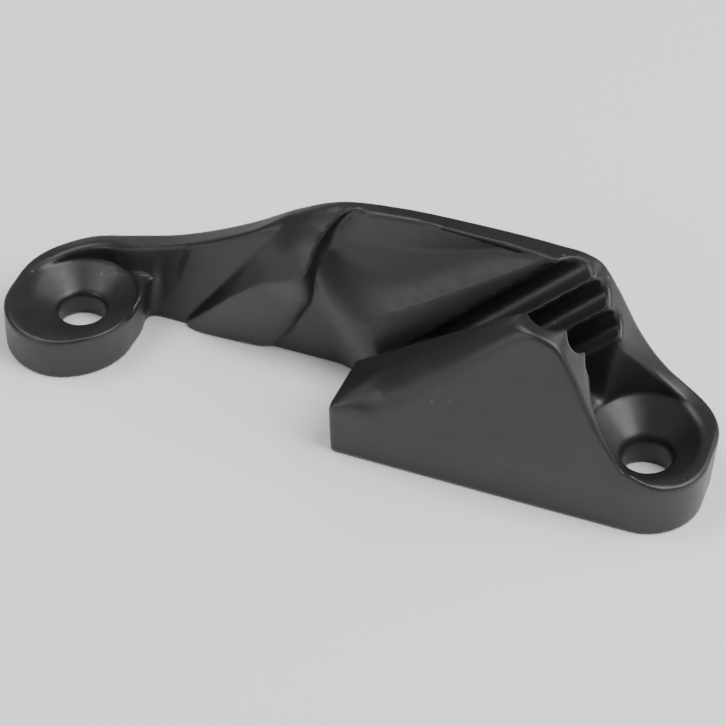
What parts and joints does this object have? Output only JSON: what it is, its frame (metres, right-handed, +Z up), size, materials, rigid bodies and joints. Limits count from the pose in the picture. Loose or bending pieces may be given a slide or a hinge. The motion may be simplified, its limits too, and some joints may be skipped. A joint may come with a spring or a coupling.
{
  "type": "side-entry cleat",
  "caption": "Side-entry rope cleat: an open V jaw with ribbed faces beside a tall back wall, a fairlead horn on its arm, and a countersunk eye at each end.",
  "frame": {"origin": "middle of the footprint, on the deck face", "axes": "+X from the fairlead eye to the jaw eye, +Y from the open front to the back wall, +Z up from the deck"},
  "size_m": [0.0812, 0.0168, 0.0218],
  "materials": {
    "black_nylon": "satin, as moulded"
  },
  "bodies": {
    "root": {"cleat_body": "black_nylon"}
  },
  "joints": []
}
